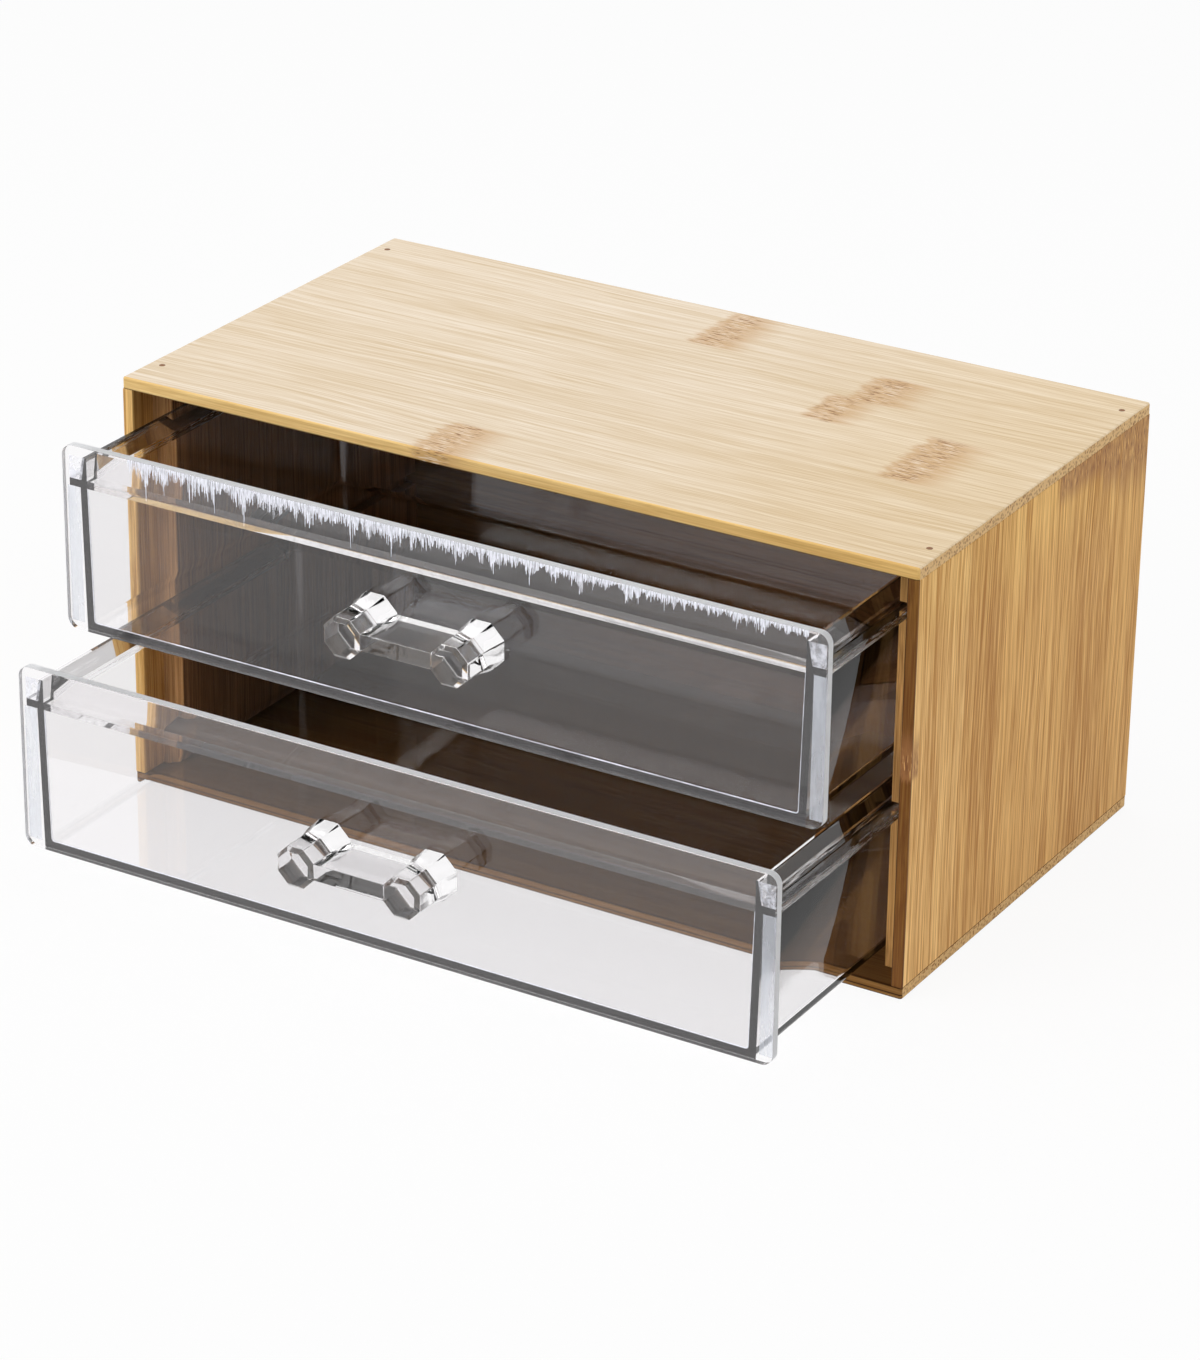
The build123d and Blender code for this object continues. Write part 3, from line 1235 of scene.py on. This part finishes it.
@dataclass
class Drawer:
    """The three clear mouldings of one drawer: its tray, its front and its handle."""

    name: str
    tray_finish: Material
    front_finish: Material
    handle_finish: Material
    edge_finish: Material
    edge_rounding: float = 0.13 * MM
    front_rounding: float = 0.08 * MM
    cement_gap: float = 0.08 * MM
    crisp_height: float = 37.0 * MM
    crisp_foot: float = 0.5 * MM
    edge_turn: float = 0.3
    foot_turn: float = -0.5

    def build(self) -> None:
        """Build the mouldings, with the tray's cemented walls and the front's foot left crisp."""
        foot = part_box(f"{self.name}_front")[0][2]
        for part, rounding, seat, crisp_below, finish in (
            ("tray", self.edge_rounding, -self.cement_gap, foot + self.crisp_height, self.tray_finish),
            ("front", self.front_rounding, 0.0, foot + self.crisp_foot, self.front_finish),
            ("handle", self.edge_rounding, self.cement_gap, 0.0, self.handle_finish),
        ):
            node = f"{self.name}_{part}"
            mesh = eased_copy(node, rounding, seat, crisp_below=crisp_below)
            mesh.materials.append(finish)
            if part == "front":
                mesh.materials.append(self.edge_finish)
                for face in mesh.polygons:
                    sawn = abs(face.normal.y) < self.edge_turn and face.normal.z > self.foot_turn
                    face.material_index = 1 if sawn else 0
            piece = keep_as_piece(f"{node}_clear", mesh, self.name)
            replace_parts(piece, node)


@dataclass(frozen=True)
class Softbox:
    """A square area lamp, in metres and watts."""

    name: str
    stand: Place
    size: float
    power: float
    seen_in_plastic: bool = True
    aim: Place = (0.0, 0.0, 0.05)

    def build(self) -> None:
        """Add the lamp, turned towards its aim."""
        lamp = bpy.data.lights.new(self.name, "AREA")
        lamp.shape = "SQUARE"
        lamp.size = self.size
        lamp.energy = self.power
        holder = put_in_scene(self.name, lamp)
        holder.location = self.stand
        holder.rotation_euler = (Vector(self.stand) - Vector(self.aim)).to_track_quat("Z", "Y").to_euler()
        holder.visible_transmission = self.seen_in_plastic


@dataclass
class Studio:
    """Pale floor, soft lamps and the camera."""

    azimuth: float = 30.771
    elevation: float = 24.755
    roll: float = 0.711
    stand: Place = (0.5638, -0.9621, 0.5462)
    focal_length: float = 126.7
    sensor: float = 36.0
    floor_size: float = 8.0
    floor_drop: float = 0.2 * MM
    floor_colour: Colour = (0.84, 0.84, 0.84)
    floor_roughness: float = 0.9
    floor_sheen: float = 0.1
    floor_glow: float = 0.91
    fill: float = 0.36
    softboxes: tuple[Softbox, ...] = (
        Softbox("overhead softbox", (-0.25, 0.1, 1.5), 1.3, 12.0),
        Softbox("left softbox", (-0.9, -1.3, 0.7), 0.8, 9.0, seen_in_plastic=False),
        Softbox("right softbox", (1.5, 0.2, 0.7), 0.8, 5.8),
    )

    def build(self) -> None:
        """Set up the floor, the world, the lamps and the camera."""
        self.add_floor()
        self.add_world()
        for softbox in self.softboxes:
            softbox.build()
        self.add_camera()
        bpy.context.scene.view_settings.view_transform = "Standard"

    def white_to_sight(self, graph: Graph) -> Socket:
        """Tell the rays that show the background: seen, mirrored or through clear plastic.

        Args:
            graph: The graph that asks.

        Returns:
            1 for such rays and 0 for the others.
        """
        rays = graph.node("ShaderNodeLightPath").outputs
        seen = graph.math("MAXIMUM", rays["Is Camera Ray"], rays["Is Glossy Ray"])
        return graph.math("MAXIMUM", seen, rays["Is Transmission Ray"])

    def add_floor(self) -> None:
        """A wide pale floor that looks white but keeps a soft shadow."""
        half = self.floor_size / 2
        mesh = bpy.data.meshes.new("floor")
        corners = [(-half, -half), (half, -half), (half, half), (-half, half)]
        mesh.from_pydata([(x, y, -self.floor_drop) for x, y in corners], [], [(0, 1, 2, 3)])
        floor = put_in_scene("floor", mesh)
        material, graph, shader, _ = new_material("pale floor")
        graph.fill(
            shader, Base_Color=self.floor_colour, Roughness=self.floor_roughness,
            Specular_IOR_Level=self.floor_sheen,
        )
        glow = graph.made_by("ShaderNodeEmission")
        graph.surface(graph.times(self.white_to_sight(graph), self.floor_glow), shader.outputs[0], glow)
        mesh.materials.append(material)

    def add_world(self) -> None:
        """White to sight, and an even soft fill on the object."""
        world = bpy.data.worlds.new("studio")
        world.use_nodes = True
        bpy.context.scene.world = world
        graph = Graph(world.node_tree)
        strength = graph.math("MULTIPLY_ADD", self.white_to_sight(graph), 1.0 - self.fill, self.fill)
        graph.fill(world.node_tree.nodes["Background"], Color=WHITE, Strength=strength)

    def add_camera(self) -> None:
        """The camera, at the photograph's angle, with its slight roll."""
        camera = bpy.data.cameras.new("camera")
        camera.sensor_fit = "VERTICAL"
        camera.sensor_height = self.sensor
        camera.lens = self.focal_length
        holder = put_in_scene("camera", camera)
        turn, lift, lean = (math.radians(angle) for angle in (self.azimuth, self.elevation, self.roll))
        level = math.cos(lift)
        backward = Vector((math.sin(turn) * level, -math.cos(turn) * level, math.sin(lift)))
        right = Vector((0.0, 0.0, 1.0)).cross(backward).normalized()
        up = backward.cross(right)
        leaning_right = math.cos(lean) * right + math.sin(lean) * up
        leaning_up = math.cos(lean) * up - math.sin(lean) * right
        pose = Matrix((leaning_right, leaning_up, backward)).transposed().to_4x4()
        pose.translation = self.stand
        holder.matrix_world = pose
        bpy.context.scene.camera = holder


def main() -> None:
    """Build the case, the drawers and the studio."""
    Case().build()
    marks = handling_marks()
    tray = ClearFinish("clear tray", scuffed_beyond=105.2).material(marks)
    front = ClearFinish("clear front").material(marks)
    handle = ClearFinish("clear handle").material(marks)
    edge = SawnFinish().material()
    bead = CementAndShadeFinish("cement bead", (0.08, 0.2, 0.1), (0.35, 0.65), (0.35, 0.95), 0.3).material()
    films = (
        # The joint film is near-black painted shade for the dark band that the tray's walls show through the
        # front.
        CementAndShadeFinish("painted shade joint film", (0.2, 0.5, 0.2), (0.3, 0.7), (0.94, 1.0), 0.3, srgb(24, 20, 21)),
        CementAndShadeFinish("cement film", (0.5, 0.5, 0.4), (0.38, 0.66), (0.14, 0.5)),
        CementAndShadeFinish("ledge cement", (0.9, 1.0, 0.9), (0.35, 0.68), (0.04, 0.16), 0.6, srgb(128, 124, 128)),
        CementAndShadeFinish("cement haze", (0.3, 0.3, 0.06), (0.3, 0.7), (0.26, 0.42), 0.6, srgb(222, 228, 236)),
    )
    films = [finish.material() for finish in films]
    for name in ("upper_drawer", "lower_drawer"):
        Drawer(name, tray, front, handle, edge).build()
        CementAndShadeSeam(name, bead, films).build()
    fringe = CementAndShadeFinish("frosty cement", (3.2, 0.2, 0.35), (0.3, 0.6), (0.25, 0.95)).material()
    CementFringe("upper_drawer", fringe).build()
    Studio().build()


if __name__ == "__main__":
    main()
